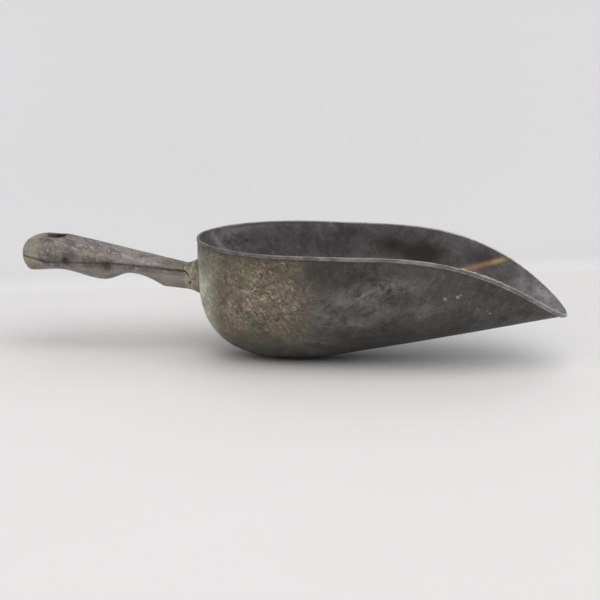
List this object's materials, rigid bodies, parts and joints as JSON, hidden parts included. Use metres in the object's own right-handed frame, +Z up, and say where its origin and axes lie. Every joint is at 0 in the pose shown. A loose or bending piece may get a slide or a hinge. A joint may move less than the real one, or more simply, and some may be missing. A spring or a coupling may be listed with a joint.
{
  "type": "ice scoop",
  "caption": "Round-bottomed metal scoop with a beaded rim dipping to a tip, on a finger-grooved grip with a hang hole.",
  "frame": {"origin": "middle of the bounding box in plan, on the surface that the bowl rests on", "axes": "+X from the handle to the tip of the bowl, +Y to the left side, +Z up; the rim's back half is level"},
  "size_m": [0.3332, 0.104, 0.0736],
  "materials": {
    "bowl_alloy": "dark oxidised casting with light flecks",
    "collar_alloy": "yellowish oxidised casting",
    "grip_alloy": "worn grey casting, satin where the hand rubs it",
    "core_alloy": "plain drawn bar, dulled"
  },
  "bodies": {
    "root": {"bowl": "bowl_alloy", "collar": "collar_alloy", "handle_upper": "grip_alloy", "handle_lower": "grip_alloy", "tang": "core_alloy", "handle_pins": "core_alloy"}
  },
  "joints": []
}
